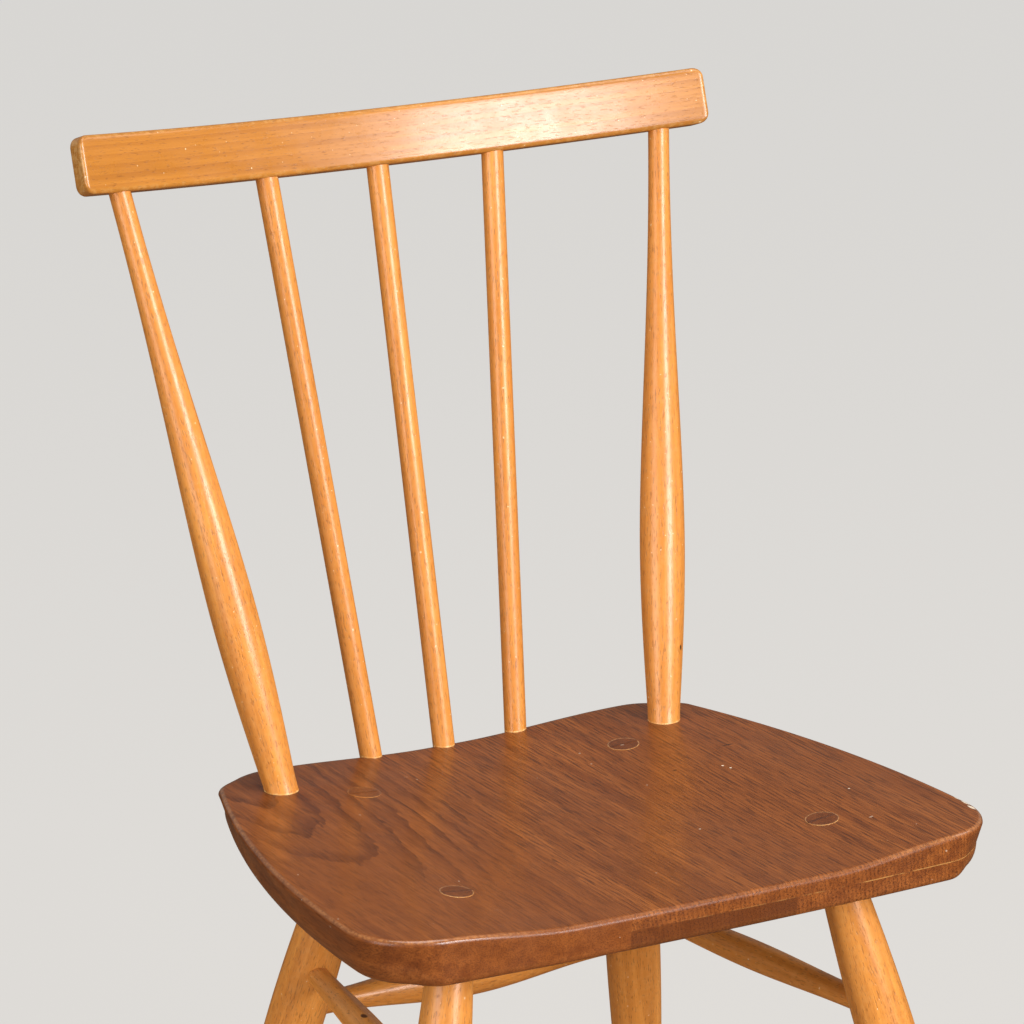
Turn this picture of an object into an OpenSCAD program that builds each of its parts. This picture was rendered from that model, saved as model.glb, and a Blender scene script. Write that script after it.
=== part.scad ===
// A stick-back dining chair: a dished seat glued up from elm boards, carried on four splayed
// turned legs whose wedged tenons pass through it, with a curved beech crest rail held by two
// swelled back posts and three plain spindles. Front of the chair is -Y, up is +Z.

/* [Seat] */
// Height of the seat's rim above the floor
seat_h = 436; // [420:1:460]
// Width of the seat at its widest place
seat_w = 421; // [350:1:510]
// Depth of the seat from front edge to rear edge
seat_d = 335; // [280:1:405]
// Thickness of the seat at its rim
seat_t = 29; // [24:0.5:36]
// How far the sides slope in from rim to underside
side_undercut = 8; // [4:0.5:12]
// Depth below the rim at which that slope begins
slope_drop = 12; // [5:0.5:14]
// Distance of the widest place behind the front edge
widest_back = 50; // [40:1:70]
// Radius of the curved sides in plan
side_r = 760; // [600:10:1000]
// Radius of the slightly bowed front edge in plan
front_r = 3200; // [2500:100:4000]
// Radius of the slightly bowed rear edge in plan
rear_r = 2500; // [2000:100:3500]
// Radius of the two front corners in plan
front_corner_r = 46; // [36:1:60]
// Radius of the two rear corners in plan
rear_corner_r = 42; // [30:1:50]

/* [Dish] */
// Depth of the seat's hollow at the centre line
dish_depth = 7.5; // [6:0.5:10]
// Radius of the hollow across the seat
dish_r = 1250; // [1000:50:1600]

/* [Seat boards] */
// Joint between the full-thickness left board and the laid-up right side, from the centre line
board_joint = -53; // [-60:1:-45]
// Thickness of the upper right board, measured down from the rim
upper_t = 16.3; // [14:0.1:18]
// Joint between the two lower boards on the right, from the centre line
under_joint = 58; // [50:1:70]

/* [Legs] */
// Diameter of a leg's through-tenon
tenon_d = 20; // [17:0.5:24]
// Diameter of a leg at its shoulder under the seat
leg_top_d = 25.6; // [24:0.2:28]
// Diameter of a leg where it is thickest
leg_mid_d = 35.4; // [32:0.2:40]
// Diameter of a leg at the floor
leg_foot_d = 22; // [19:0.5:26]
// Share of the leg's length from shoulder to thickest place
leg_mid_at = 0.285; // [0.2:0.005:0.4]
// Half the spacing of the front tenons
front_tenon_x = 123.2; // [110:0.1:135]
// Distance of the front tenons behind the front edge
front_tenon_back = 78.5; // [66:0.1:94]
// Half the spacing of the rear tenons
rear_tenon_x = 91.4; // [80:0.1:100]
// Distance of the rear tenons in front of the rear edge
rear_tenon_in = 77; // [64:0.1:92]
// Sideways splay of the front legs, degrees
front_splay_x = 12.7; // [9:0.1:15]
// Forward splay of the front legs, degrees
front_splay_y = 11.4; // [8:0.1:15]
// Sideways splay of the rear legs, degrees
rear_splay_x = 11.1; // [8:0.1:14]
// Backward splay of the rear legs, degrees
rear_splay_y = 15; // [10:0.1:18]

/* [Wedges] */
// Thickness of a tenon wedge at the seat's top
wedge_t = 2.2; // [1.6:0.1:3]
// Thickness of a tenon wedge at its thin end
wedge_tip_t = 0.6; // [0.4:0.1:1]
// Length of a wedge down into its tenon
wedge_len = 15; // [10:0.5:18]

/* [Stretchers] */
// Diameter of a stretcher's end where it enters a leg
stretcher_end_d = 14; // [12:0.5:16]
// Diameter of a side stretcher at its middle
side_stretcher_d = 18.6; // [16:0.2:22]
// Diameter of the rear stretcher at its middle
rear_stretcher_d = 28.4; // [24:0.2:32]
// Drop of the side stretchers below the seat's rim
side_stretcher_drop = 122; // [110:1:140]
// Drop of the rear stretcher below the seat's rim
rear_stretcher_drop = 150; // [142:1:170]
// How far a stretcher stops short of the leg's axis
stretcher_short = 2; // [1:0.5:4]

/* [Back] */
// Half the spacing of the post bases on the seat
post_x = 135; // [125:0.5:145]
// Distance of the post bases in front of the rear edge
post_in = 53; // [46:0.5:60]
// Half the spacing of the post tops at the rail
post_top_x = 187.2; // [175:0.1:195]
// Diameter of a post at the seat
post_base_d = 20.6; // [18:0.2:24]
// Diameter of a post where it is thickest
post_mid_d = 28.6; // [25:0.2:32]
// Diameter of a post at the rail
post_top_d = 13.4; // [12:0.2:15]
// Share of the post's length from seat to thickest place
post_mid_at = 0.29; // [0.2:0.005:0.4]
// Spacing of the spindle bases on the seat
spindle_gap = 51.4; // [45:0.1:58]
// Distance of the spindles in front of the rear edge
spindle_in = 9.6; // [9:0.2:14]
// Spacing of the spindle tops at the rail
spindle_top_gap = 78.8; // [72:0.1:86]
// Diameter of a spindle
spindle_d = 14; // [11.5:0.1:17]

/* [Crest rail] */
// Rise of the rail's lower front edge above the seat's rim
rail_rise = 353; // [290:1:430]
// Distance of the rail's lower front edge behind the seat's rear edge
rail_back = 58.6; // [40:0.1:80]
// Backward lean of the rail, degrees
rail_lean = 16.8; // [12:0.1:20]
// Length of the rail from end to end
rail_len = 432; // [405:1:460]
// Height of the rail
rail_h = 35.6; // [30:0.2:44]
// Thickness of the rail
rail_t = 17; // [15.5:0.5:22]
// Radius of the rail's hollow front face
rail_r = 630; // [500:10:900]
// Rounding of the rail's long edges
rail_edge_r = 3; // [2:0.25:4]
// Radius of the rail's corners seen from the front
rail_corner_r = 6; // [4:0.5:9]

/* [Joints] */
// Diameter of the tenons on the posts' lower ends
post_tenon_d = 16; // [13:0.5:17]
// Diameter of the tenons on the spindles' lower ends and of all tenons in the rail
small_tenon_d = 10; // [8:0.5:11]
// Depth of the posts' blind tenons in the seat
post_tenon_len = 20.5; // [19.5:0.5:22]
// Depth of the spindles' blind tenons in the seat
spindle_tenon_len = 15; // [12:0.5:16]
// Depth of the blind tenons in the rail
rail_tenon_len = 18; // [14:0.5:22]
// Glue clearance around every round tenon, on the radius
glue_gap = 0.1; // [0.05:0.05:0.3]
// Space left beyond the end of a blind tenon
end_gap = 0.5; // [0.3:0.1:1.5]

/* [Hidden] */
$fn = 96;

beech = [0.84, 0.55, 0.24];
elm = [0.43, 0.20, 0.10];
elm_dark = [0.36, 0.17, 0.09];
far = 2000;
plan_facets = 1440;
profile_steps = 28;
// Reach of the wedge-shaped cuts that clear the seat's square corners
corner_clear = 90;
// How far the seat's corner rounds stand beyond the sides, so that they cross them cleanly
corner_proud = 0.05;
// Length of plain stick at each end of a turned one, as a share of its diameter there
plain_share = 0.3;
own_turn = 40;

// Distances along the chair, from the seat's front edge at 0 to the rear edge at seat_d
foot_front = front_tenon_back - seat_h * tan(front_splay_y) - foot_reach(front_splay_y);
rail_rear = seat_d + rail_back + (rail_h - rail_edge_r) * sin(rail_lean)
    + (rail_t - rail_edge_r) * cos(rail_lean) + rail_edge_r;
// The frame's origin is under the middle of the whole chair
front_y = -(foot_front + rail_rear) / 2;
rear_y = front_y + seat_d;
seat_under = seat_h - seat_t;
upper_z = seat_h - upper_t;
side_z = seat_h - side_stretcher_drop;
rear_z = seat_h - rear_stretcher_drop;

// How far a foot's rim reaches beyond its centre, for a leg with this splay
function foot_reach(splay) = leg_foot_d / 2 / cos(splay);

// Where two circles cross, on the side given by sign
function crossing(a, ra, b, rb, sign) =
    let (
        gap = b - a,
        dist = norm(gap),
        along = (ra * ra - rb * rb + dist * dist) / (2 * dist),
        across = sqrt(ra * ra - along * along),
        unit = gap / dist
    )
    a + unit * along + sign * across * [-unit[1], unit[0]];

function side_centre(s) = [s * (seat_w / 2 - side_r), front_y + widest_back];
front_centre = [0, front_y + front_r];
rear_centre = [0, rear_y - rear_r];

// Centres of the plan's corner rounds, on the side s, and their directions of touch
function front_corner(s) =
    crossing(side_centre(s), side_r - front_corner_r, front_centre, front_r - front_corner_r, -s);
function rear_corner(s) =
    crossing(side_centre(s), side_r - rear_corner_r, rear_centre, rear_r - rear_corner_r, s);

// Points at which the legs' axes meet the seat's rim plane, and a point below the floor
function leg_top(s, back) = back
    ? [s * rear_tenon_x, rear_y - rear_tenon_in, seat_h - dish_at(rear_tenon_x)]
    : [s * front_tenon_x, front_y + front_tenon_back, seat_h - dish_at(front_tenon_x)];
function leg_slope(s, back) = back
    ? [s * tan(rear_splay_x), tan(rear_splay_y), -1]
    : [s * tan(front_splay_x), -tan(front_splay_y), -1];
// A point on a leg's axis at this height
function leg_at(s, back, z) = leg_top(s, back) + leg_slope(s, back) * (leg_top(s, back)[2] - z);

// Depth of the hollow below the rim at a place across the seat
function dish_at(x) = max(0, dish_depth - dish_r + sqrt(dish_r * dish_r - x * x));

// Where the sticks of the back stand on the seat
function post_base(s) = [s * post_x, rear_y - post_in, seat_h - dish_at(post_x)];
function spindle_base(i) =
    [i * spindle_gap, rear_y - spindle_in, seat_h - dish_at(i * spindle_gap)];
// Where they meet the rail: a point on the rail's underside, in the middle of its thickness
function rail_seat(x) =
    let (y = sqrt(rail_r * rail_r - x * x) - rail_r + rail_t / 2)
    [x, rear_y + rail_back + y * cos(rail_lean), seat_h + rail_rise - y * sin(rail_lean)];

// Radius along a turned stick: fullest at mid, smooth on both sides, at a share t of its length
function turned_r(t, r_start, r_mid, r_end, mid) = t < mid
    ? r_start + (r_mid - r_start) * sin(90 * t / mid)
    : r_end + (r_mid - r_end) * (1 + cos(180 * pow((t - mid) / (1 - mid), 0.85))) / 2;

// Carries what is drawn along +Z to the line from one point to another. The turn about its own
// axis keeps a round surface's start out of the plane in which it leans.
module along(start, end) {
    way = end - start;
    translate(start) rotate([0, acos(way[2] / norm(way)), atan2(way[1], way[0])])
        rotate(own_turn) children();
}

// A turned stick of this length along +Z, plain at its ends and running on beyond them
module turned(length, r_start, r_mid, r_end, mid) {
    steps = [for (i = [0:profile_steps]) i / profile_steps];
    first = 2 * r_start * plain_share;
    last = length - 2 * r_end * plain_share;
    rotate_extrude() polygon(concat(
        [[0, -2 * r_start], [r_start, -2 * r_start]],
        [for (t = steps) [turned_r(t, r_start, r_mid, r_end, mid), first + t * (last - first)]],
        [[r_end, length + 2 * r_end], [0, length + 2 * r_end]]
    ));
}

// A round bar or bore from start towards end, beginning and ending at distances along the way
module bar(start, end, from, to, r) {
    along(start, end) translate([0, 0, from]) cylinder(r = r, h = to - from);
}

/* Seat */

// The sector between a corner round's two lines of touch, which the round itself fills
module corner_sector(corner, a, b) {
    to_a = (corner - a) / norm(corner - a) * corner_clear;
    to_b = (corner - b) / norm(corner - b) * corner_clear;
    polygon([corner, corner + to_a, corner + to_a + to_b, corner + to_b]);
}

module plan_disc(centre, r) {
    translate(centre) circle(r = r, $fn = plan_facets);
}

// The seat's outline in plan
module seat_plan() {
    difference() {
        intersection() {
            plan_disc(side_centre(-1), side_r);
            plan_disc(side_centre(1), side_r);
            plan_disc(front_centre, front_r);
            plan_disc(rear_centre, rear_r);
        }
        for (s = [-1, 1]) {
            corner_sector(front_corner(s), side_centre(s), front_centre);
            corner_sector(rear_corner(s), side_centre(s), rear_centre);
        }
    }
    for (s = [-1, 1]) {
        plan_disc(front_corner(s), front_corner_r + corner_proud);
        plan_disc(rear_corner(s), rear_corner_r + corner_proud);
    }
}

// What a side's slope leaves of the seat: a cone on the side's own centre
module side_cone(s) {
    slope = side_undercut / (seat_t - slope_drop);
    translate([side_centre(s)[0], side_centre(s)[1], seat_under - 1])
        cylinder(r1 = side_r - side_undercut - slope, r2 = side_r + (slope_drop + 1) * slope,
            h = seat_t + 2, $fn = plan_facets);
}

// The seat before its hollow and its mortises
module seat_blank() {
    intersection() {
        translate([0, 0, seat_under]) linear_extrude(seat_t) seat_plan();
        side_cone(-1);
        side_cone(1);
    }
}

// The dish is the lowest part of a very wide cylinder lying along the chair
module dish() {
    translate([0, front_y - seat_d, seat_h - dish_depth + dish_r]) rotate([-90, 0, 0])
        cylinder(r = dish_r, h = 3 * seat_d, $fn = plan_facets);
}

module seat_mortises() {
    for (s = [-1, 1]) {
        for (back = [false, true])
            bar(leg_top(s, back), leg_at(s, back, 0), -seat_t, 2 * seat_t, tenon_d / 2 + glue_gap);
        bar(post_base(s), rail_seat(s * post_top_x), -post_tenon_len - end_gap, seat_t,
            post_tenon_d / 2 + glue_gap);
    }
    for (i = [-1:1])
        bar(spindle_base(i), rail_seat(i * spindle_top_gap), -spindle_tenon_len - end_gap, seat_t,
            small_tenon_d / 2 + glue_gap);
}

// The part of the seat between two heights and two places across
module seat_board(x0, x1, z0, z1) {
    difference() {
        intersection() {
            seat_blank();
            translate([x0, front_y - seat_d, z0]) cube([x1 - x0, 3 * seat_d, z1 - z0]);
        }
        dish();
        seat_mortises();
    }
}

module seat_board_left() {
    color(elm) seat_board(-seat_w, board_joint, 0, far);
}
module seat_board_right() {
    color(elm) seat_board(board_joint, seat_w, upper_z, far);
}
module seat_under_middle() {
    color(elm_dark) seat_board(board_joint, under_joint, 0, upper_z);
}
module seat_under_right() {
    color(elm) seat_board(under_joint, seat_w, 0, upper_z);
}

/* Legs and their wedges */

// Everything for a long way above this height
module all_above(z) {
    translate([-far / 2, -far / 2, z]) cube([far, far, far]);
}

// A wedge's space in its tenon, across the seat's grain
module wedge_space(s, back) {
    top = leg_top(s, back);
    translate([top[0], top[1], seat_h]) rotate([90, 0, 90]) translate([0, 0, -tenon_d])
        linear_extrude(2 * tenon_d) polygon([
            [-wedge_t / 2, 0],
            [wedge_t / 2, 0],
            [wedge_tip_t / 2, -wedge_len],
            [-wedge_tip_t / 2, -wedge_len]
        ]);
}

module tenon_space(s, back) {
    bar(leg_top(s, back), leg_at(s, back, 0), -seat_t, 2 * seat_t, tenon_d / 2);
}

module leg(s, back) {
    shoulder = leg_at(s, back, seat_under);
    foot = leg_at(s, back, 0);
    color(beech) difference() {
        union() {
            difference() {
                along(shoulder, foot) turned(norm(foot - shoulder), leg_top_d / 2, leg_mid_d / 2,
                    leg_foot_d / 2, leg_mid_at);
                all_above(seat_under);
            }
            tenon_space(s, back);
        }
        all_above(-far);
        all_above(seat_h);
        dish();
        wedge_space(s, back);
        stretcher_bores(s, back);
    }
}

module leg_front_left() { leg(-1, false); }
module leg_front_right() { leg(1, false); }
module leg_rear_left() { leg(-1, true); }
module leg_rear_right() { leg(1, true); }

module wedge(s, back) {
    color(elm_dark) difference() {
        intersection() {
            wedge_space(s, back);
            tenon_space(s, back);
        }
        dish();
    }
}

module wedge_front_left() { wedge(-1, false); }
module wedge_front_right() { wedge(1, false); }
module wedge_rear_left() { wedge(-1, true); }
module wedge_rear_right() { wedge(1, true); }

/* Stretchers */

// Points on the legs' axes between which the stretchers run
function side_from(s) = leg_at(s, true, side_z);
function side_to(s) = leg_at(s, false, side_z);
function rear_end(s) = leg_at(s, true, rear_z);

module stretcher_bores(s, back) {
    r = stretcher_end_d / 2 + glue_gap;
    start = stretcher_short - end_gap;
    if (back) {
        bar(side_from(s), side_to(s), start, leg_mid_d, r);
        bar(rear_end(s), rear_end(-s), start, leg_mid_d, r);
    } else {
        bar(side_to(s), side_from(s), start, leg_mid_d, r);
    }
}

// A stretcher between two legs' axes, with straight ends for the bores and a swelled middle
module stretcher(start, end, mid_d) {
    length = norm(end - start);
    straight = leg_mid_d / 2;
    body = length - 2 * straight;
    swell = (mid_d - stretcher_end_d) / 2;
    steps = [for (i = [0:profile_steps]) i / profile_steps];
    color(beech) along(start, end) rotate_extrude() polygon(concat(
        [[0, stretcher_short], [stretcher_end_d / 2, stretcher_short]],
        [for (t = steps) [stretcher_end_d / 2 + swell * (1 - cos(360 * t)) / 2, straight + t * body]],
        [[stretcher_end_d / 2, length - stretcher_short], [0, length - stretcher_short]]
    ));
}

module side_stretcher_left() { stretcher(side_from(-1), side_to(-1), side_stretcher_d); }
module side_stretcher_right() { stretcher(side_from(1), side_to(1), side_stretcher_d); }
module rear_stretcher() { stretcher(rear_end(-1), rear_end(1), rear_stretcher_d); }

/* Back */

// Carries the rail's own frame, with its lower front edge at the origin, to its place
module at_rail() {
    translate([0, rear_y + rail_back, seat_h + rail_rise]) rotate([-rail_lean, 0, 0]) children();
}

// The ring that the rail is cut from, seen in the rail's own frame
module rail_ring(edge) {
    translate([0, -rail_r, 0]) rotate_extrude($fn = 360) {
        translate([rail_r + edge, 0]) square([rail_t - 2 * edge, rail_h]);
        translate([rail_r, edge]) square([rail_t, rail_h - 2 * edge]);
        for (x = [rail_r + edge, rail_r + rail_t - edge], y = [edge, rail_h - edge])
            translate([x, y]) circle(r = edge);
    }
}

// The rail's outline seen from the front, drawn right through it
module rail_outline() {
    rotate([90, 0, 0]) translate([0, 0, -rail_r / 2]) linear_extrude(rail_r) {
        translate([-rail_len / 2 + rail_corner_r, 0]) square([rail_len - 2 * rail_corner_r, rail_h]);
        translate([-rail_len / 2, rail_corner_r]) square([rail_len, rail_h - 2 * rail_corner_r]);
        for (x = [-1, 1], y = [rail_corner_r, rail_h - rail_corner_r])
            translate([x * (rail_len / 2 - rail_corner_r), y]) circle(r = rail_corner_r);
    }
}

// A stick's tenon or its mortise in the rail, from just below the rail's underside
module rail_tenon(base, x, length, r) {
    bar(rail_seat(x), base, -length, 2 * rail_edge_r, r);
}

module crest_rail() {
    color(beech) difference() {
        at_rail() intersection() {
            rail_ring(rail_edge_r);
            rail_outline();
        }
        for (s = [-1, 1])
            rail_tenon(post_base(s), s * post_top_x, rail_tenon_len + end_gap, small_tenon_d / 2 + glue_gap);
        for (i = [-1:1])
            rail_tenon(spindle_base(i), i * spindle_top_gap, rail_tenon_len + end_gap,
                small_tenon_d / 2 + glue_gap);
    }
}

// Everything above the plane of the rail's underside, to end a stick's shoulder there
module above_rail() {
    at_rail() translate([-far / 2, -far / 2, 0]) cube([far, far, far]);
}

// A stick of the back: its own body is drawn by the child along +Z from the seat
module back_stick(base, x, base_tenon_d, base_tenon_len) {
    top = rail_seat(x);
    color(beech) {
        difference() {
            along(base, top) children();
            above_rail();
            difference() {
                all_above(seat_h - far);
                dish();
            }
        }
        bar(base, top, -base_tenon_len, spindle_d, base_tenon_d / 2);
        bar(top, base, -rail_tenon_len, spindle_d, small_tenon_d / 2);
    }
}

module back_post(s) {
    base = post_base(s);
    length = norm(rail_seat(s * post_top_x) - base);
    back_stick(base, s * post_top_x, post_tenon_d, post_tenon_len)
        turned(length, post_base_d / 2, post_mid_d / 2, post_top_d / 2, post_mid_at);
}

module spindle(i) {
    base = spindle_base(i);
    length = norm(rail_seat(i * spindle_top_gap) - base);
    back_stick(base, i * spindle_top_gap, small_tenon_d, spindle_tenon_len)
        translate([0, 0, -spindle_d]) cylinder(d = spindle_d, h = length + 2 * spindle_d);
}

module back_post_left() { back_post(-1); }
module back_post_right() { back_post(1); }
module spindle_left() { spindle(-1); }
module spindle_centre() { spindle(0); }
module spindle_right() { spindle(1); }

seat_board_left();
seat_board_right();
seat_under_middle();
seat_under_right();
leg_front_left();
leg_front_right();
leg_rear_left();
leg_rear_right();
wedge_front_left();
wedge_front_right();
wedge_rear_left();
wedge_rear_right();
side_stretcher_left();
side_stretcher_right();
rear_stretcher();
back_post_left();
back_post_right();
spindle_left();
spindle_centre();
spindle_right();
crest_rail();
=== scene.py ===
import math

import bmesh
import bpy
import numpy as np
from mathutils import Matrix, Vector


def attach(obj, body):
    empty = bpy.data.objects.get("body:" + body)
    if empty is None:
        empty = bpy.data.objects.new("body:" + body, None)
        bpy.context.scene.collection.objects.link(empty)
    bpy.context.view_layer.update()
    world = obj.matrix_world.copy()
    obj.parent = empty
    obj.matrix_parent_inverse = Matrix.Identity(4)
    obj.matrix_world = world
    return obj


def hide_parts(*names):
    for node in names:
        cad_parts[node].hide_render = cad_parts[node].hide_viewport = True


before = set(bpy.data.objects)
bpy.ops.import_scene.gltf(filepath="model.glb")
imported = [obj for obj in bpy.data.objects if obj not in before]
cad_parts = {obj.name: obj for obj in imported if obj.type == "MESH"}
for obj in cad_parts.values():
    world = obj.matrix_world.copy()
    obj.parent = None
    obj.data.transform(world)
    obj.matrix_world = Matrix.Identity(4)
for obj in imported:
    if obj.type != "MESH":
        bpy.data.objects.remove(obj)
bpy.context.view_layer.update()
print("frame loaded:", len(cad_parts), "nodes")


def smooth(a, b, x):
    t = min(max((x - a) / (b - a), 0.0), 1.0)
    return t * t * (3 - 2 * t)


def mix(a, b, t):
    return a + (b - a) * t


# ---- wood and varnish ----

# what every wood shares; each range is where a noise's values fade in
woodRules = {
    "ringDetail": 3.0, "ringRough": 0.6, "figureFade": (0.45, 1.0),
    "streakRange": (0.32, 0.68), "fibreRange": (0.40, 0.75), "fibreStretch": 0.03,
    "cloudRange": (0.38, 0.66), "cloudStretch": 0.5, "poreFade": 0.07, "wearFade": 0.14, "speckFade": 0.012,
    "seamHalf": (0.0004, 0.0002), "seamBreaks": 70.0, "seamBreakRange": (0.42, 0.58),
    "seamSide": (0.02, 0.10, 0.3, 1.0), "seamDepth": 0.55, "seamColour": (0.62, 0.33, 0.10),
    "markFade": (1.0, 0.55), "smudgeScale": 45.0, "smudgeRange": (0.3, 0.7), "wornRough": 0.06,
    "coatRange": (0.12, 0.40), "refraction": 1.5, "reliefDepth": 0.0003,
    "fibreRelief": 0.35, "poreRelief": -0.9, "ringRelief": -0.15,
}


def newMaterial(name):
    made = bpy.data.materials.new(name)
    made.use_nodes = True
    made.node_tree.nodes.clear()
    return made, made.node_tree.nodes, made.node_tree.links


def addNode(nodes, kind, **settings):
    node = nodes.new(kind)
    for key, value in settings.items():
        setattr(node, key, value)
    return node


def makeWood(name, look):
    made, nodes, links = newMaterial(name)
    rules = woodRules

    def math2(operation, a, b=None, clamp=False):
        node = addNode(nodes, "ShaderNodeMath", operation=operation, use_clamp=clamp)
        for i, value in enumerate((a, b)):
            if value is None:
                continue
            if isinstance(value, (int, float)):
                node.inputs[i].default_value = value
            else:
                links.new(value, node.inputs[i])
        return node.outputs[0]

    def spread(value, low, high, toLow=0.0, toHigh=1.0):
        node = addNode(nodes, "ShaderNodeMapRange", interpolation_type="SMOOTHSTEP")
        links.new(value, node.inputs["Value"])
        for key, number in zip(("From Min", "From Max", "To Min", "To Max"), (low, high, toLow, toHigh)):
            node.inputs[key].default_value = number
        return node.outputs["Result"]

    def noise(vector, scale, detail=2.0, rough=0.5):
        node = addNode(nodes, "ShaderNodeTexNoise")
        links.new(vector, node.inputs["Vector"])
        node.inputs["Scale"].default_value = scale
        node.inputs["Detail"].default_value = detail
        node.inputs["Roughness"].default_value = rough
        return node.outputs["Fac"]

    def place(vector, scale=(1, 1, 1), turn=(0, 0, 0), shift=(0, 0, 0)):
        node = addNode(nodes, "ShaderNodeMapping")
        links.new(vector, node.inputs["Vector"])
        node.inputs["Scale"].default_value = scale
        node.inputs["Rotation"].default_value = turn
        node.inputs["Location"].default_value = shift
        return node.outputs["Vector"]

    def over(colour, factor, top):
        node = addNode(nodes, "ShaderNodeMix", data_type="RGBA")
        links.new(factor, node.inputs["Factor"])
        for socket, value in ((node.inputs[6], colour), (node.inputs[7], top)):
            if isinstance(value, tuple):
                socket.default_value = (*value, 1)
            else:
                links.new(value, socket)
        return node.outputs[2]

    def share(factor, depth):
        return math2("MULTIPLY", factor, depth)

    def distanceFrom(at, size):
        # 1 on an upright ellipsoid of this size round the place, and 0 at its middle
        gap = addNode(nodes, "ShaderNodeVectorMath", operation="DISTANCE")
        links.new(place(where, scale=tuple(1 / s for s in size)), gap.inputs[0])
        gap.inputs[1].default_value = tuple(a / s for a, s in zip(at, size))
        return gap.outputs["Value"]

    # grain runs along the attribute's third coordinate
    grain = addNode(nodes, "ShaderNodeAttribute", attribute_name="grain").outputs["Vector"]
    wornEdge = addNode(nodes, "ShaderNodeAttribute", attribute_name="worn").outputs["Fac"]
    where = addNode(nodes, "ShaderNodeTexCoord").outputs["Object"]

    # growth rings, cut through by the surface: each one starts sharply and fades
    wave = addNode(nodes, "ShaderNodeTexWave", wave_type="RINGS", rings_direction="Z", wave_profile="SAW")
    ringSpace = place(grain, scale=look["ringScale"], turn=look["ringTurn"], shift=look["ringShift"])
    links.new(ringSpace, wave.inputs["Vector"])
    wave.inputs["Scale"].default_value = look["ringCount"]
    wave.inputs["Distortion"].default_value = look["ringWander"]
    wave.inputs["Detail"].default_value = rules["ringDetail"]
    wave.inputs["Detail Scale"].default_value = look["ringWanderScale"]
    wave.inputs["Detail Roughness"].default_value = rules["ringRough"]
    rings = spread(wave.outputs["Fac"], look["ringFrom"], 1.0)
    if "figure" in look:
        # the rings show most round one place, and little away from it
        at, size, least = look["figure"]
        rings = math2("MULTIPLY", rings, spread(distanceFrom(at, size), *rules["figureFade"], 1.0, least))

    # streaks a few millimetres wide, fine fibres and short dark pores
    streaks = noise(place(grain, scale=(1, 1, look["streakStretch"])), look["streakScale"], 3.0, 0.6)
    fibres = noise(place(grain, scale=(1, 1, rules["fibreStretch"])), look["fibreScale"], 2.0, 0.6)
    poreField = noise(place(grain, scale=(1, 1, look["poreStretch"])), look["poreScale"], 1.0, 0.5)
    pores = spread(poreField, look["poreFrom"], look["poreFrom"] + rules["poreFade"])
    cloud = noise(place(grain, scale=(1, 1, rules["cloudStretch"])), look["cloudScale"], 2.0, 0.5)

    colour = over(look["dark"], spread(streaks, *rules["streakRange"]), look["light"])
    colour = over(colour, share(spread(cloud, *rules["cloudRange"]), look["cloudDepth"]), look["cloud"])
    colour = over(colour, share(rings, look["ringDepth"]), look["ring"])
    colour = over(colour, share(spread(fibres, *rules["fibreRange"]), look["fibreDepth"]), look["ring"])
    inRings = math2("ADD", share(rings, look["poreRings"]), 1 - look["poreRings"])
    poreMask = math2("MULTIPLY", pores, inRings)
    colour = over(colour, share(poreMask, look["poreDepth"]), look["pore"])

    # worn places: the varnish has gone pale on the arrises, with small chips
    chipField = noise(grain, look["wearScale"], 4.0, 0.65)
    chips = spread(chipField, look["wearFrom"], look["wearFrom"] + rules["wearFade"])
    chipped = math2("ADD", share(chips, 1 - look["wearSteady"]), look["wearSteady"])
    worn = math2("MULTIPLY", wornEdge, chipped, clamp=True)
    colour = over(colour, share(worn, look["wearDepth"]), look["wear"])
    speckField = noise(grain, look["speckScale"], 0.0)
    specks = spread(speckField, look["speckFrom"], look["speckFrom"] + rules["speckFade"])
    colour = over(colour, share(specks, look["speckDepth"]), look["speck"])

    if "seam" in look:
        # the pale glue line between the upper and lower boards, broken here and there
        axes = addNode(nodes, "ShaderNodeSeparateXYZ")
        links.new(where, axes.inputs[0])
        off = math2("ABSOLUTE", math2("SUBTRACT", axes.outputs["Z"], look["seam"]))
        breaks = noise(where, rules["seamBreaks"], 3.0, 0.7)
        broken = math2("MULTIPLY", spread(breaks, *rules["seamBreakRange"]),
                       spread(axes.outputs["X"], *rules["seamSide"]))
        line = math2("MULTIPLY", spread(off, *rules["seamHalf"]), broken)
        colour = over(colour, share(line, rules["seamDepth"]), rules["seamColour"])
    # single marks, each at its own place on the chair
    for at, size, markColour in look.get("marks", ()):
        colour = over(colour, spread(distanceFrom(at, size), *rules["markFade"]), markColour)

    shader = addNode(nodes, "ShaderNodeBsdfPrincipled")
    links.new(colour, shader.inputs["Base Color"])
    smudge = noise(grain, rules["smudgeScale"], 3.0, 0.6)
    handled = spread(smudge, *rules["smudgeRange"], look["rough"] - look["roughSpread"],
                     look["rough"] + look["roughSpread"])
    links.new(math2("ADD", handled, share(worn, rules["wornRough"])), shader.inputs["Roughness"])
    shader.inputs["IOR"].default_value = rules["refraction"]
    shader.inputs["Specular IOR Level"].default_value = look["specular"]
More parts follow.
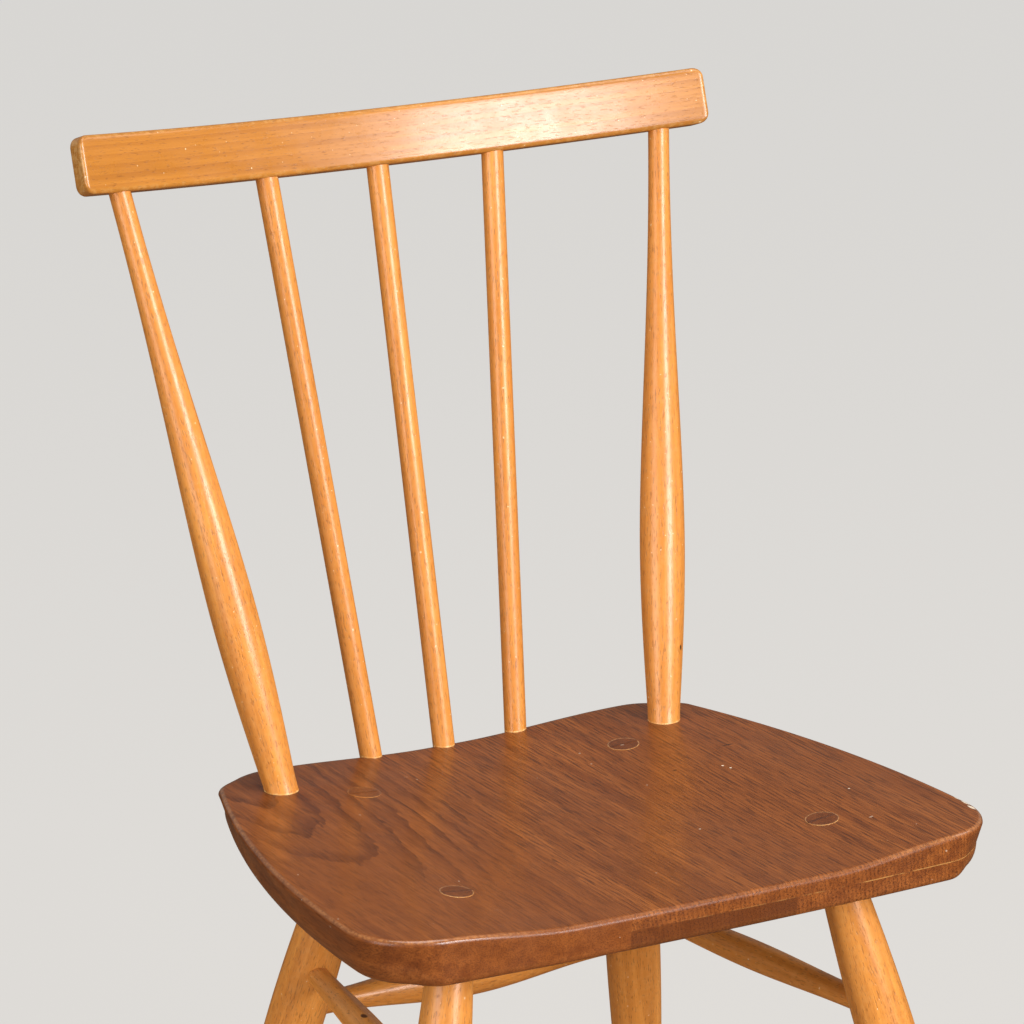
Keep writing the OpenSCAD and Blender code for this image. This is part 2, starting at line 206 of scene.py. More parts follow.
    # the varnish lies thickest on the arrises
    coat = spread(wornEdge, *rules["coatRange"], look["coat"], look["coatEdge"])
    links.new(coat, shader.inputs["Coat Weight"])
    shader.inputs["Coat Roughness"].default_value = look["coatRough"]
    hollows = math2("ADD", share(poreMask, rules["poreRelief"]), share(rings, rules["ringRelief"]))
    height = math2("ADD", share(fibres, rules["fibreRelief"]), hollows)
    bump = addNode(nodes, "ShaderNodeBump")
    bump.inputs["Strength"].default_value = look["bump"]
    bump.inputs["Distance"].default_value = rules["reliefDepth"]
    links.new(height, bump.inputs["Height"])
    links.new(bump.outputs["Normal"], shader.inputs["Normal"])
    output = addNode(nodes, "ShaderNodeOutputMaterial")
    links.new(shader.outputs["BSDF"], output.inputs["Surface"])
    return made


paleMark, darkMark = (0.80, 0.66, 0.50), (0.045, 0.014, 0.006)
beechLook = {
    "dark": (0.600, 0.208, 0.030), "light": (0.790, 0.310, 0.056), "ring": (0.430, 0.132, 0.018),
    "cloud": (0.680, 0.238, 0.035), "pore": (0.240, 0.070, 0.012), "wear": (0.900, 0.600, 0.240),
    "speck": (0.880, 0.680, 0.420),
    "ringScale": (1, 1, 0.06), "ringTurn": (0.30, 0.35, 0), "ringShift": (0.03, 0.05, 0.0), "ringFrom": 0.35,
    "ringCount": 55.0, "ringWander": 1.6, "ringWanderScale": 1.2, "ringDepth": 0.24,
    "streakStretch": 0.05, "streakScale": 150.0, "fibreScale": 1500.0, "fibreDepth": 0.24,
    "poreStretch": 0.16, "poreScale": 1250.0, "poreFrom": 0.60, "poreDepth": 0.55, "poreRings": 0.2,
    "cloudScale": 14.0, "cloudDepth": 0.45,
    "wearScale": 260.0, "wearFrom": 0.46, "wearSteady": 0.25, "wearDepth": 0.8,
    "speckScale": 520.0, "speckFrom": 0.845, "speckDepth": 0.7,
    "rough": 0.36, "roughSpread": 0.05, "specular": 0.45,
    "coat": 0.16, "coatEdge": 0.16, "coatRough": 0.20, "bump": 0.42,
}
elmLook = {
    "dark": (0.168, 0.043, 0.009), "light": (0.288, 0.084, 0.017), "ring": (0.105, 0.026, 0.006),
    "cloud": (0.225, 0.062, 0.012), "pore": (0.062, 0.016, 0.005), "wear": (0.480, 0.190, 0.055),
    "speck": (0.700, 0.560, 0.430),
    "ringScale": (1, 1, 0.10), "ringTurn": (0.15, 0.12, 0), "ringShift": (0.0, 0.0, 0.0), "ringFrom": 0.30,
    "ringCount": 110.0, "ringWander": 2.4, "ringWanderScale": 2.0, "ringDepth": 0.42,
    "streakStretch": 0.06, "streakScale": 110.0, "fibreScale": 1100.0, "fibreDepth": 0.40,
    "poreStretch": 0.045, "poreScale": 1150.0, "poreFrom": 0.53, "poreDepth": 0.72, "poreRings": 0.3,
    "cloudScale": 9.0, "cloudDepth": 0.7,
    "wearScale": 420.0, "wearFrom": 0.44, "wearSteady": 0.30, "wearDepth": 0.62,
    "speckScale": 300.0, "speckFrom": 0.885, "speckDepth": 0.4,
    "rough": 0.37, "roughSpread": 0.06, "specular": 0.28,
    "coat": 0.12, "coatEdge": 1.0, "coatRough": 0.12, "bump": 0.26,
    "seam": 0.4197,
    "marks": (((0.056, -0.0927, 0.432), (0.0015, 0.0009, 0.004), paleMark),
              ((0.1622, -0.0912, 0.434), (0.0010, 0.0010, 0.004), paleMark),
              ((0.121, -0.012, 0.434), (0.0011, 0.0010, 0.004), paleMark),
              ((0.123, -0.018, 0.434), (0.0008, 0.0012, 0.004), paleMark),
              ((0.143, 0.018, 0.435), (0.0055, 0.0010, 0.004), darkMark),
              ((0.094, 0.000, 0.433), (0.0016, 0.0014, 0.004), darkMark),
              ((0.2083, -0.1400, 0.4356), (0.0012, 0.0056, 0.0012), paleMark),
              ((0.2078, -0.1490, 0.4356), (0.0013, 0.0056, 0.0012), paleMark),
              ((0.2060, -0.1580, 0.4356), (0.0015, 0.0052, 0.0012), paleMark)),
}
# a dark spot low on the right post where it has a nick: painted shade of the nick's hollow, which the mesh
# does not shape
beechBack = makeWood("beechBackVarnish", {**beechLook, "marks": (
    ((0.1480, 0.0835, 0.4812), (0.0012, 0.0014, 0.0022), darkMark),)})
beechRail = makeWood("beechRailVarnish", {
    **beechLook, "dark": (0.415, 0.148, 0.015), "light": (0.540, 0.208, 0.027), "ring": (0.300, 0.092, 0.010),
    "cloud": (0.470, 0.172, 0.019), "pore": (0.150, 0.042, 0.007), "ringShift": (0.010, 0.031, 0.2),
    "poreDepth": 0.42, "ringDepth": 0.30, "poreScale": 1150.0, "poreFrom": 0.62, "fibreDepth": 0.18,
    "rough": 0.31, "specular": 0.50, "coat": 0.26, "bump": 0.30})
# a dark spot on the left stretcher where it has a dent: painted shade of the dent's hollow, which the mesh
# does not shape
beechUnder = makeWood("beechUnderVarnish", {**beechLook, "ringShift": (0.021, 0.012, 0.4), "marks": (
    ((-0.1328, -0.0183, 0.3230), (0.0022, 0.0042, 0.0014), darkMark),)})
elmSeat = makeWood("elmSeatVarnish", {
    **elmLook, "dark": (0.190, 0.050, 0.010), "light": (0.322, 0.096, 0.019), "cloud": (0.252, 0.071, 0.014)})
# the left board is flat sawn: its rings come up through the top as arches
elmLeft = makeWood("elmLeftVarnish", {
    **elmLook, "ringScale": (1, 1, 0.3), "ringTurn": (0.73, 0.0, 0.0), "ringFrom": 0.45,
    "ringCount": 27.0, "ringWander": 3.0, "ringWanderScale": 3.0, "ringDepth": 0.72,
    "ring": (0.098, 0.022, 0.005), "poreRings": 0.5, "seam": 0.0,
    "figure": ((-0.115, 0.02, 0.43), (0.10, 0.15, 0.30), 0.18)})
elmUnderDark = makeWood("elmUnderDarkVarnish", {
    **elmLook, "dark": (0.120, 0.031, 0.007), "light": (0.170, 0.047, 0.010), "cloud": (0.145, 0.039, 0.008)})
tenonEnd = makeWood("tenonEndVarnish", {
    **elmLook, "dark": (0.140, 0.036, 0.008), "light": (0.190, 0.052, 0.012),
    "poreStretch": 1.0, "streakStretch": 1.0, "ringDepth": 0.1, "wearDepth": 0.95,
    "wearSteady": 0.35, "wear": (0.500, 0.230, 0.075), "marks": ()})
wedgeVarnish = makeWood("wedgeVarnish", {
    **elmLook, "dark": (0.070, 0.020, 0.008), "light": (0.105, 0.030, 0.011), "ringDepth": 0.1, "marks": ()})
print("materials made")


# ---- helpers for finished pieces ----

sharpFrom = math.radians(38)


def finishPiece(obj, nodes):
    part = bmesh.new()
    part.from_mesh(obj.data)
    for f in part.faces:
        f.smooth = True
    for e in part.edges:
        e.smooth = len(e.link_faces) == 2 and e.calc_face_angle() < sharpFrom
    part.to_mesh(obj.data)
    part.free()
    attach(obj, "root")
    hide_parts(*nodes)
    return obj


def storeVectors(mesh, name, rows):
    attribute = mesh.attributes.new(name, "FLOAT_VECTOR", "POINT")
    attribute.data.foreach_set("vector", np.asarray(rows, np.float32).ravel())


def storeValues(mesh, name, values):
    attribute = mesh.attributes.new(name, "FLOAT", "POINT")
    attribute.data.foreach_set("value", np.asarray(values, np.float32))


def points(mesh):
    co = np.zeros(len(mesh.vertices) * 3)
    mesh.vertices.foreach_get("co", co)
    return co.reshape(-1, 3)


def newObject(name, mesh):
    obj = bpy.data.objects.new(name, mesh)
    bpy.context.scene.collection.objects.link(obj)
    return obj


# ---- seat ----

seat = {
    "rim": 0.436, "thick": 0.029, "halfWidth": 0.2105,
    "frontY": -0.19940, "depth": 0.335, "widest": 0.050,
    "sideRadius": 0.760, "frontRadius": 3.200, "rearRadius": 2.500,
    "frontCorner": 0.046, "rearCorner": 0.042,
    # the hollow at the front and at the rear: half widths inside and outside its slope, and depth
    "innerWidth": (0.085, 0.010), "outerWidth": (0.176, 0.135), "hollowDepth": (0.0066, 0.0062),
    # the hollow as the frame has it, which the joints are laid out from
    "cadDishDepth": 0.0075, "cadDishRadius": 1.25,
    "topRound": 0.0034, "rearRound": 0.0135, "roundReach": 0.0160,
    # how far the side slopes in, and how far in and up its lower edge is rounded
    "sideUnder": (0.0035, 0.0080, 0.0140), "frontUnder": (0.0010, 0.0040, 0.0050),
    "boardJoint": -0.053, "upperThick": 0.0163, "underJoint": 0.058,
    "innerRings": 46, "rimRings": 7, "roundRings": 12, "sideRings": 6, "underRings": 10,
    "sidePoints": 70, "rearPoints": 70, "frontPoints": 90, "rearCornerPoints": 30, "frontCornerPoints": 34,
}
seat["rearY"] = seat["frontY"] + seat["depth"]
seat["under"] = seat["rim"] - seat["thick"]


def seatTop(x, y):
    # hollowed between the inner widths, level with the rim beyond the outer ones
    behind = (y - seat["frontY"]) / seat["depth"]
    inner = mix(*seat["innerWidth"], smooth(0.1, 0.9, behind))
    outer = mix(*seat["outerWidth"], smooth(0.1, 1.0, behind))
    depth = mix(*seat["hollowDepth"], smooth(0.0, 1.0, behind))
    return seat["rim"] - depth * (1 - smooth(inner, outer, abs(x)))


def crossing(a, ra, b, rb, side):
    gap = b - a
    dist = gap.length
    along = (ra * ra - rb * rb + dist * dist) / (2 * dist)
    across = math.sqrt(ra * ra - along * along)
    unit = gap / dist
    return a + unit * along + side * across * Vector((-unit.y, unit.x))


def arc(centre, radius, start, end, count):
    a0, a1 = math.atan2(start.y, start.x), math.atan2(end.y, end.x)
    while a1 < a0:
        a1 += 2 * math.pi
    rows = []
    for i in range(count):
        a = a0 + (a1 - a0) * i / count
        n = Vector((math.cos(a), math.sin(a)))
        rows.append((centre + n * radius, n))
    return rows


def seatOutline():
    s = seat
    sideIn, sideY = s["halfWidth"] - s["sideRadius"], s["frontY"] + s["widest"]
    sideAt = {k: Vector((k * sideIn, sideY)) for k in (-1, 1)}
    frontAt = Vector((0, s["frontY"] + s["frontRadius"]))
    rearAt = Vector((0, s["rearY"] - s["rearRadius"]))
    front = {k: crossing(sideAt[k], s["sideRadius"] - s["frontCorner"], frontAt,
                         s["frontRadius"] - s["frontCorner"], -k) for k in (-1, 1)}
    rear = {k: crossing(sideAt[k], s["sideRadius"] - s["rearCorner"], rearAt,
                        s["rearRadius"] - s["rearCorner"], k) for k in (-1, 1)}
    rows = []
    rows += arc(sideAt[1], s["sideRadius"], front[1] - sideAt[1], rear[1] - sideAt[1], s["sidePoints"])
    rows += arc(rear[1], s["rearCorner"], rear[1] - sideAt[1], rear[1] - rearAt, s["rearCornerPoints"])
    rows += arc(rearAt, s["rearRadius"], rear[1] - rearAt, rear[-1] - rearAt, s["rearPoints"])
    rows += arc(rear[-1], s["rearCorner"], rear[-1] - rearAt, rear[-1] - sideAt[-1], s["rearCornerPoints"])
    rows += arc(sideAt[-1], s["sideRadius"], rear[-1] - sideAt[-1], front[-1] - sideAt[-1], s["sidePoints"])
    rows += arc(front[-1], s["frontCorner"], front[-1] - sideAt[-1], front[-1] - frontAt,
                s["frontCornerPoints"])
    rows += arc(frontAt, s["frontRadius"], front[-1] - frontAt, front[1] - frontAt, s["frontPoints"])
    rows += arc(front[1], s["frontCorner"], front[1] - frontAt, front[1] - sideAt[1], s["frontCornerPoints"])
    return rows


def seatMesh():
    s = seat
    outline = seatOutline()
    count = len(outline)
    middle = Vector((0, s["frontY"] + s["depth"] / 2))
    reach = s["roundReach"]
    verts, faces, wornAt = [], [], []

    def topRound(n):
        return mix(s["topRound"], s["rearRound"], smooth(0.25, 0.85, n.y))

    def under(n):
        sideways = smooth(0.10, 0.60, abs(n.x))
        return [mix(a, b, sideways) for a, b in zip(s["frontUnder"], s["sideUnder"])]

    # from the middle of the top out to the rim, round the arris, down the side and in again below
    for k in range(1, s["innerRings"] + 1):
        for p, n in outline:
            q = middle + (p - n * reach - middle) * (k / s["innerRings"])
            verts.append((q.x, q.y, seatTop(q.x, q.y)))
            wornAt.append(0.0)
    for k in range(1, s["rimRings"] + s["roundRings"] + 1):
        for p, n in outline:
            r = topRound(n)
            a = max(0, k - s["rimRings"]) / s["roundRings"] * math.pi / 2
            inset = r * (1 - math.sin(a)) if a else reach - (reach - r) * k / s["rimRings"]
            q = p - n * inset
            verts.append((q.x, q.y, seatTop(q.x, q.y) - r * (1 - math.cos(a))))
            # only the crown of the arris is rubbed, and the rear one least
            rubbed = mix(1.0, 0.15, smooth(0.3, 0.8, n.y)) * mix(0.35, 1.0, smooth(0.10, 0.15, abs(p.x)))
            wornAt.append(smooth(0.60, 0.0, abs(a - 0.7)) * rubbed)
    for k in range(1, s["sideRings"] + 1):
        for p, n in outline:
            slope, _, up = under(n)
            q = p - n * slope * (k / s["sideRings"])
            high = seatTop(p.x, p.y) - topRound(n)
            verts.append((q.x, q.y, mix(high, s["under"] + up, k / s["sideRings"])))
            wornAt.append(0.0)
    for k in range(1, s["underRings"] + 1):
        a = k / s["underRings"] * math.pi / 2
        for p, n in outline:
            slope, into, up = under(n)
            q = p - n * (slope + into * (1 - math.cos(a)))
            verts.append((q.x, q.y, s["under"] + up * (1 - math.sin(a))))
            wornAt.append(0.15)
    levels = len(verts) // count
    for k in range(levels - 1):
        for i in range(count):
            j = (i + 1) % count
            faces.append((k * count + i, (k + 1) * count + i, (k + 1) * count + j, k * count + j))
    centre = len(verts)
    verts.append((middle.x, middle.y, seatTop(middle.x, middle.y)))
    wornAt.append(0.0)
    for i in range(count):
        faces.append((centre, i, (i + 1) % count))
    faces.append(tuple((levels - 1) * count + i for i in reversed(range(count))))
    mesh = bpy.data.meshes.new("seatWhole")
    mesh.from_pydata(verts, [], faces)
    storeValues(mesh, "worn", wornAt)
    return mesh


def keepPart(source, name, cuts):
    # each cut is (point, direction); what lies along the direction goes
    part = bmesh.new()
    part.from_mesh(source)
    for at, way in cuts:
        result = bmesh.ops.bisect_plane(part, geom=part.verts[:] + part.edges[:] + part.faces[:],
                                        plane_co=at, plane_no=way, clear_outer=True, dist=1e-7)
        rim = [g for g in result["geom_cut"] if isinstance(g, bmesh.types.BMEdge)]
        bmesh.ops.triangle_fill(part, edges=rim, use_beauty=True, use_dissolve=False)
    bmesh.ops.recalc_face_normals(part, faces=part.faces[:])
    mesh = bpy.data.meshes.new(name)
    part.to_mesh(mesh)
    part.free()
    return mesh


wholeSeat = seatMesh()
boardJointAt, underJointAt, levelAt = (Vector(at) for at in (
    (seat["boardJoint"], 0, 0), (seat["underJoint"], 0, 0), (0, 0, seat["rim"] - seat["upperThick"])))
toRight, toLeft, toTop, toFloor = (Vector(way) for way in ((1, 0, 0), (-1, 0, 0), (0, 0, 1), (0, 0, -1)))
# each board's node, slot, wood, shift of its grain and cuts
seatBoards = {
    "seatBoardLeft": ("seat_board_left", "elm_seat", elmLeft, (0.155, 0.100, 0.20),
                      [(boardJointAt, toRight)]),
    "seatBoardRight": ("seat_board_right", "elm_seat", elmSeat, (0.100, 0.030, 0.17),
                       [(boardJointAt, toLeft), (levelAt, toFloor)]),
    "seatUnderMiddle": ("seat_under_middle", "elm_dark", elmUnderDark, (0.200, 0.060, 0.41),
                        [(boardJointAt, toLeft), (levelAt, toTop), (underJointAt, toRight)]),
    "seatUnderRight": ("seat_under_right", "elm_seat", elmSeat, (0.080, 0.050, 0.63),
                       [(underJointAt, toLeft), (levelAt, toTop)]),
}
for name, (node, slot, material, shift, cuts) in seatBoards.items():
    mesh = keepPart(wholeSeat, name, cuts)
    at = points(mesh)
    grain = np.c_[at[:, 0] + shift[0], at[:, 2] - seat["rim"] + shift[1], at[:, 1] + shift[2]]
    storeVectors(mesh, "grain", grain)
    mesh.materials.append(material)
    finishPiece(newObject(name, mesh), [node])
bpy.data.meshes.remove(wholeSeat)
print("seat boards made")


# ---- turned sticks, each swept along its own line by one tree ----

def turnedStickTree():
    tree = bpy.data.node_groups.new("turnedStick", "GeometryNodeTree")
    face = tree.interface
    face.new_socket("Geometry", in_out="OUTPUT", socket_type="NodeSocketGeometry")
    for name, kind in (("Start", "Vector"), ("End", "Vector"), ("Radius at start", "Float"),
                       ("Radius at middle", "Float"), ("Radius at end", "Float"), ("Middle share", "Float"),
                       ("Plain ends", "Float"), ("Swell", "Float"), ("Rings", "Int"), ("Sides", "Int"),
                       ("Material", "Material")):
        face.new_socket(name, in_out="INPUT", socket_type="NodeSocket" + kind)
    nodes, links = tree.nodes, tree.links
    given = nodes.new("NodeGroupInput").outputs

    def math1(operation, *values):
        node = nodes.new("ShaderNodeMath")
        node.operation = operation
        for i, value in enumerate(values):
            if isinstance(value, (int, float)):
                node.inputs[i].default_value = value
            else:
                links.new(value, node.inputs[i])
        return node.outputs[0]

    line = nodes.new("GeometryNodeCurvePrimitiveLine")
    links.new(given["Start"], line.inputs["Start"])
    links.new(given["End"], line.inputs["End"])
    resample = nodes.new("GeometryNodeResampleCurve")
    links.new(line.outputs[0], resample.inputs["Curve"])
    links.new(given["Rings"], resample.inputs["Count"])
    way = nodes.new("GeometryNodeSplineParameter").outputs["Factor"]
    plain = given["Plain ends"]
    t = math1("DIVIDE", math1("SUBTRACT", way, plain), math1("SUBTRACT", 1.0, math1("MULTIPLY", plain, 2.0)))
    t = math1("MINIMUM", math1("MAXIMUM", t, 0.0), 1.0)
    mid, thick = given["Middle share"], given["Radius at middle"]
    # up to the middle a quarter of a sine, after it half a cosine, as the turner's hand leaves it
    rise = math1("SINE", math1("MULTIPLY", math1("DIVIDE", t, mid), math.pi / 2))
    first = math1("ADD", given["Radius at start"],
                  math1("MULTIPLY", math1("SUBTRACT", thick, given["Radius at start"]), rise))
    past = math1("MAXIMUM", math1("DIVIDE", math1("SUBTRACT", t, mid), math1("SUBTRACT", 1.0, mid)), 0.0)
    fall = math1("COSINE", math1("MULTIPLY", math1("POWER", past, 0.85), math.pi))
    second = math1("ADD", given["Radius at end"],
                   math1("MULTIPLY", math1("SUBTRACT", thick, given["Radius at end"]),
                         math1("MULTIPLY", math1("ADD", fall, 1.0), 0.5)))
    isPast = math1("GREATER_THAN", t, mid)
    taper = math1("ADD", math1("MULTIPLY", second, isPast),
                  math1("MULTIPLY", first, math1("SUBTRACT", 1.0, isPast)))
    bulge = math1("MULTIPLY", math1("SUBTRACT", 1.0, math1("COSINE", math1("MULTIPLY", t, 2 * math.pi))), 0.5)
    swelled = math1("ADD", given["Radius at end"],
                    math1("MULTIPLY", math1("SUBTRACT", thick, given["Radius at end"]), bulge))
    swell = given["Swell"]
    radius = math1("ADD", math1("MULTIPLY", swelled, swell),
                   math1("MULTIPLY", taper, math1("SUBTRACT", 1.0, swell)))
    circle = nodes.new("GeometryNodeCurvePrimitiveCircle")
    links.new(given["Sides"], circle.inputs["Resolution"])
    circle.inputs["Radius"].default_value = 1.0
    sweep = nodes.new("GeometryNodeCurveToMesh")
    links.new(resample.outputs["Curve"], sweep.inputs["Curve"])
    links.new(circle.outputs["Curve"], sweep.inputs["Profile Curve"])
    links.new(radius, sweep.inputs["Scale"])
    sweep.inputs["Fill Caps"].default_value = True
    realize = nodes.new("GeometryNodeRealizeInstances")
    links.new(sweep.outputs["Mesh"], realize.inputs["Geometry"])
    paint = nodes.new("GeometryNodeSetMaterial")
    links.new(realize.outputs["Geometry"], paint.inputs["Geometry"])
    links.new(given["Material"], paint.inputs["Material"])
    output = nodes.new("NodeGroupOutput")
    links.new(paint.outputs["Geometry"], output.inputs["Geometry"])
    return tree


stickTree = turnedStickTree()
# tenons: steps in towards the middle of the end, how far out its rim starts, and how far below the seat's
# rim a point still counts as on top; collars: heights of the two lines above the seat
stickRules = {"tenonSteps": (0.955, 0.915, 0.5), "tenonRim": 0.935, "tenonTall": 0.012,
              "collarLines": (0.0005, 0.0011), "worn": 0.10}


def sweptStick(name, inputs):
    holder = newObject(name + "Source", bpy.data.meshes.new(name + "Source"))
    modifier = holder.modifiers.new("stick", "NODES")
    modifier.node_group = stickTree
    ids = {item.name: item.identifier for item in stickTree.interface.items_tree if item.in_out == "INPUT"}
    for key, value in inputs.items():
        modifier[ids[key]] = value
    evaluated = holder.evaluated_get(bpy.context.evaluated_depsgraph_get())
    mesh = bpy.data.meshes.new_from_object(evaluated)
    mesh.name = name
    bpy.data.objects.remove(holder)
    return mesh


def slideAlong(verts, way, height):
    # moves points along the stick until each lies at the height that the surface has there
    for v in verts:
        for _ in range(4):
            v.co = v.co + way * ((height(v.co.x, v.co.y) - v.co.z) / way.z)


def cutAt(part, at, way, keep=False):
    # what lies beyond the plane goes, and a flat face closes the end
    result = bmesh.ops.bisect_plane(part, geom=part.verts[:] + part.edges[:] + part.faces[:],
                                    plane_co=at, plane_no=way, clear_outer=not keep, dist=1e-7)
    if keep:
        return None
    rim = [g for g in result["geom_cut"] if isinstance(g, bmesh.types.BMEdge)]
    return bmesh.ops.edgeloop_fill(part, edges=rim)["faces"][0]


def addTenon(part, shoulder, start, way, tenon):
    # the shoulder narrows to the tenon, which comes out at the top of the seat
    def grow(face, radius, height, material):
        grown = bmesh.ops.extrude_face_region(part, geom=[face])["geom"]
        part.faces.remove(face)
        ring = [g for g in grown if isinstance(g, bmesh.types.BMVert)]
        for v in ring:
            along = way * (v.co - start).dot(way)
            across = v.co - start - along
            v.co = start + along + across * (radius / across.length)
        slideAlong(ring, way, height)
        for v in ring:
            for f in v.link_faces:
                f.material_index = material
        return [g for g in grown if isinstance(g, bmesh.types.BMFace) and len(g.verts) > 4][0]

    r = tenon["radius"]
    face = grow(shoulder, r, underAt, 0)
    face = grow(face, r, tenon["height"], 0)
    for step in stickRules["tenonSteps"]:
        face = grow(face, r * step, tenon["height"], 1)
    middle = bmesh.ops.poke(part, faces=[face])
    for f in middle["faces"]:
        f.material_index = 1
    slideAlong(middle["verts"], way, tenon["height"])


def stick(name, node, material, start, end, radii, middleAt, shift, startCut=None, endCut=None,
          swell=0.0, plain=0.0, extra=0.0, rings=120, sides=72, tenon=None, collar=None):
    # the stick is swept a little long at both ends and then cut
    way = (end - start).normalized()
    length = (end - start).length
    mesh = sweptStick(name, {
        "Start": tuple(start - way * extra), "End": tuple(end + way * extra), "Radius at start": radii[0],
        "Radius at middle": radii[1], "Radius at end": radii[2], "Middle share": middleAt,
        "Plain ends": (plain * length + extra) / (length + 2 * extra), "Swell": swell,
        "Rings": rings, "Sides": sides, "Material": material,
    })
    part = bmesh.new()
    part.from_mesh(mesh)
    if endCut:
        cutAt(part, *endCut)
    if startCut:
        shoulder = cutAt(part, *startCut)
        if tenon:
            addTenon(part, shoulder, start, way, tenon)
    if collar:
        for height in collar["lines"]:
            cutAt(part, collar["at"] + collar["way"] * height, collar["way"], keep=True)
    bmesh.ops.recalc_face_normals(part, faces=part.faces[:])
    part.to_mesh(mesh)
    part.free()
    at = points(mesh)
    local = (at - np.array(start)) @ np.array(way.to_track_quat("Z", "Y").to_matrix())
    storeVectors(mesh, "grain", local + np.array(shift))
    worn = np.full(len(at), stickRules["worn"])
    if tenon:
        # the glue line round the tenon's end has gone pale
        wide = np.hypot(local[:, 0], local[:, 1])
        tall = at[:, 2] > seat["rim"] - stickRules["tenonTall"]
        inner = tenon["radius"] * stickRules["tenonRim"]
        worn = np.where(tall & (wide > inner), tenon["rim"], worn)
        worn = np.where(tall & (wide <= inner), 0.0, worn)
        mesh.materials.append(tenon["material"])
    if collar:
        rise = (at - np.array(collar["at"])) @ np.array(collar["way"])
        worn = np.where(rise < collar["lines"][0] + 1e-6, 1.0, worn)
    storeValues(mesh, "worn", worn)
    return finishPiece(newObject(name, mesh), node)


def underAt(x, y):
    return seat["under"]


def seatCollar(start, end):
    # the varnish line where a stick meets the seat: the plane of the seat's surface there
    way = (end - start).normalized()
    at = start.copy()
    for _ in range(6):
        at = at + way * ((seatTop(at.x, at.y) - at.z) / way.z)
    step = 0.002
    slope = Vector(((seatTop(at.x + step, at.y) - seatTop(at.x - step, at.y)) / (2 * step),
                    (seatTop(at.x, at.y + step) - seatTop(at.x, at.y - step)) / (2 * step), 0.0))
    return {"at": at, "way": (toTop - slope).normalized(), "lines": stickRules["collarLines"]}


# ---- legs with their wedged through-tenons ----

legs = {
    "tenonRadius": 0.010, "topRadius": 0.0128, "midRadius": 0.0177, "footRadius": 0.01099, "midShare": 0.285,
    "frontX": 0.1232, "frontBack": 0.0785, "rearX": 0.0914, "rearIn": 0.077,
    "frontSplay": (12.7, 11.4), "rearSplay": (11.1, 15.0), "proud": 0.00018,
    "plain": 0.017, "extra": 0.012, "rings": 150, "rim": 1.0, "rearLeftRim": 0.35,
    "wedgeThick": 0.0022, "wedgeTip": 0.0006, "wedgeLong": 0.015, "wedgeWide": 0.93, "wedgeSteps": 12,
    "wedgeProud": 0.00015,
}


def cadDish(x):
    radius = seat["cadDishRadius"]
    return max(0.0, seat["cadDishDepth"] - radius + math.sqrt(radius ** 2 - x * x))


def legTop(side, rear):
    if rear:
        x, y = legs["rearX"], seat["rearY"] - legs["rearIn"]
    else:
        x, y = legs["frontX"], seat["frontY"] + legs["frontBack"]
    return Vector((side * x, y, seat["rim"] - cadDish(x)))


def legSlope(side, rear):
    a, b = legs["rearSplay"] if rear else legs["frontSplay"]
    return Vector((side * math.tan(math.radians(a)), (1 if rear else -1) * math.tan(math.radians(b)), -1))


def legAt(side, rear, z):
    top = legTop(side, rear)
    return top + legSlope(side, rear) * (top.z - z)


def proudTop(x, y):
    return seatTop(x, y) + legs["proud"]


def wedgePiece(name, node, side, rear):
    top = legTop(side, rear)
    slope = legSlope(side, rear)
    reach = legs["wedgeWide"] * legs["tenonRadius"]
    part = bmesh.new()
    columns = []
    for i in range(legs["wedgeSteps"] + 1):
        u = mix(-reach, reach, i / legs["wedgeSteps"])
        column = []
        for depth, half in ((0.0, legs["wedgeThick"] / 2), (legs["wedgeLong"], legs["wedgeTip"] / 2)):
            shift = slope * depth
            for sign in (-1, 1):
                x, y = top.x + u + shift.x, top.y + sign * half + shift.y
                z = top.z - depth if depth else proudTop(x, y) + legs["wedgeProud"]
                column.append(part.verts.new((x, y, z)))
        columns.append(column)
    for a, b in zip(columns, columns[1:]):
        part.faces.new((a[0], b[0], b[1], a[1]))
        part.faces.new((a[2], a[3], b[3], b[2]))
        part.faces.new((a[0], a[2], b[2], b[0]))
        part.faces.new((a[1], b[1], b[3], a[3]))
    part.faces.new((columns[0][0], columns[0][1], columns[0][3], columns[0][2]))
    part.faces.new((columns[-1][0], columns[-1][2], columns[-1][3], columns[-1][1]))
    bmesh.ops.recalc_face_normals(part, faces=part.faces[:])
    mesh = bpy.data.meshes.new(name)
    part.to_mesh(mesh)
    part.free()
    at = points(mesh)
    storeVectors(mesh, "grain", at + np.array((0.2 * side, 0.3, 0.1)))
    storeValues(mesh, "worn", np.zeros(len(at)))
    mesh.materials.append(wedgeVarnish)
    finishPiece(newObject(name, mesh), [node])


underCut, floorCut = (Vector((0, 0, seat["under"])), toTop), (Vector(), toFloor)
for rear, row in ((False, "Front"), (True, "Rear")):
    for side, hand in ((-1, "Left"), (1, "Right")):
        node = f"{row.lower()}_{hand.lower()}"
        tenon = {"radius": legs["tenonRadius"], "height": proudTop, "material": tenonEnd,
                 "rim": legs["rearLeftRim"] if rear and side < 0 else legs["rim"]}
        stick(f"leg{row}{hand}", [f"leg_{node}"], beechUnder,
              legAt(side, rear, seat["under"]), legAt(side, rear, 0.0),
              (legs["topRadius"], legs["midRadius"], legs["footRadius"]), legs["midShare"],
              (0.15 * side, 0.23 * rear, 0.4 * side), underCut, floorCut,
              plain=legs["plain"], extra=legs["extra"], rings=legs["rings"], tenon=tenon)
        wedgePiece(f"wedge{row}{hand}", f"wedge_{node}", side, rear)
print("legs and wedges made")

# ---- stretchers ----

stretchers = {"endRadius": 0.007, "sideRadius": 0.0093, "rearRadius": 0.0142,
              "sideDrop": 0.122, "rearDrop": 0.150, "short": 0.002, "straight": 0.0177,
              "rings": 100, "sides": 56}


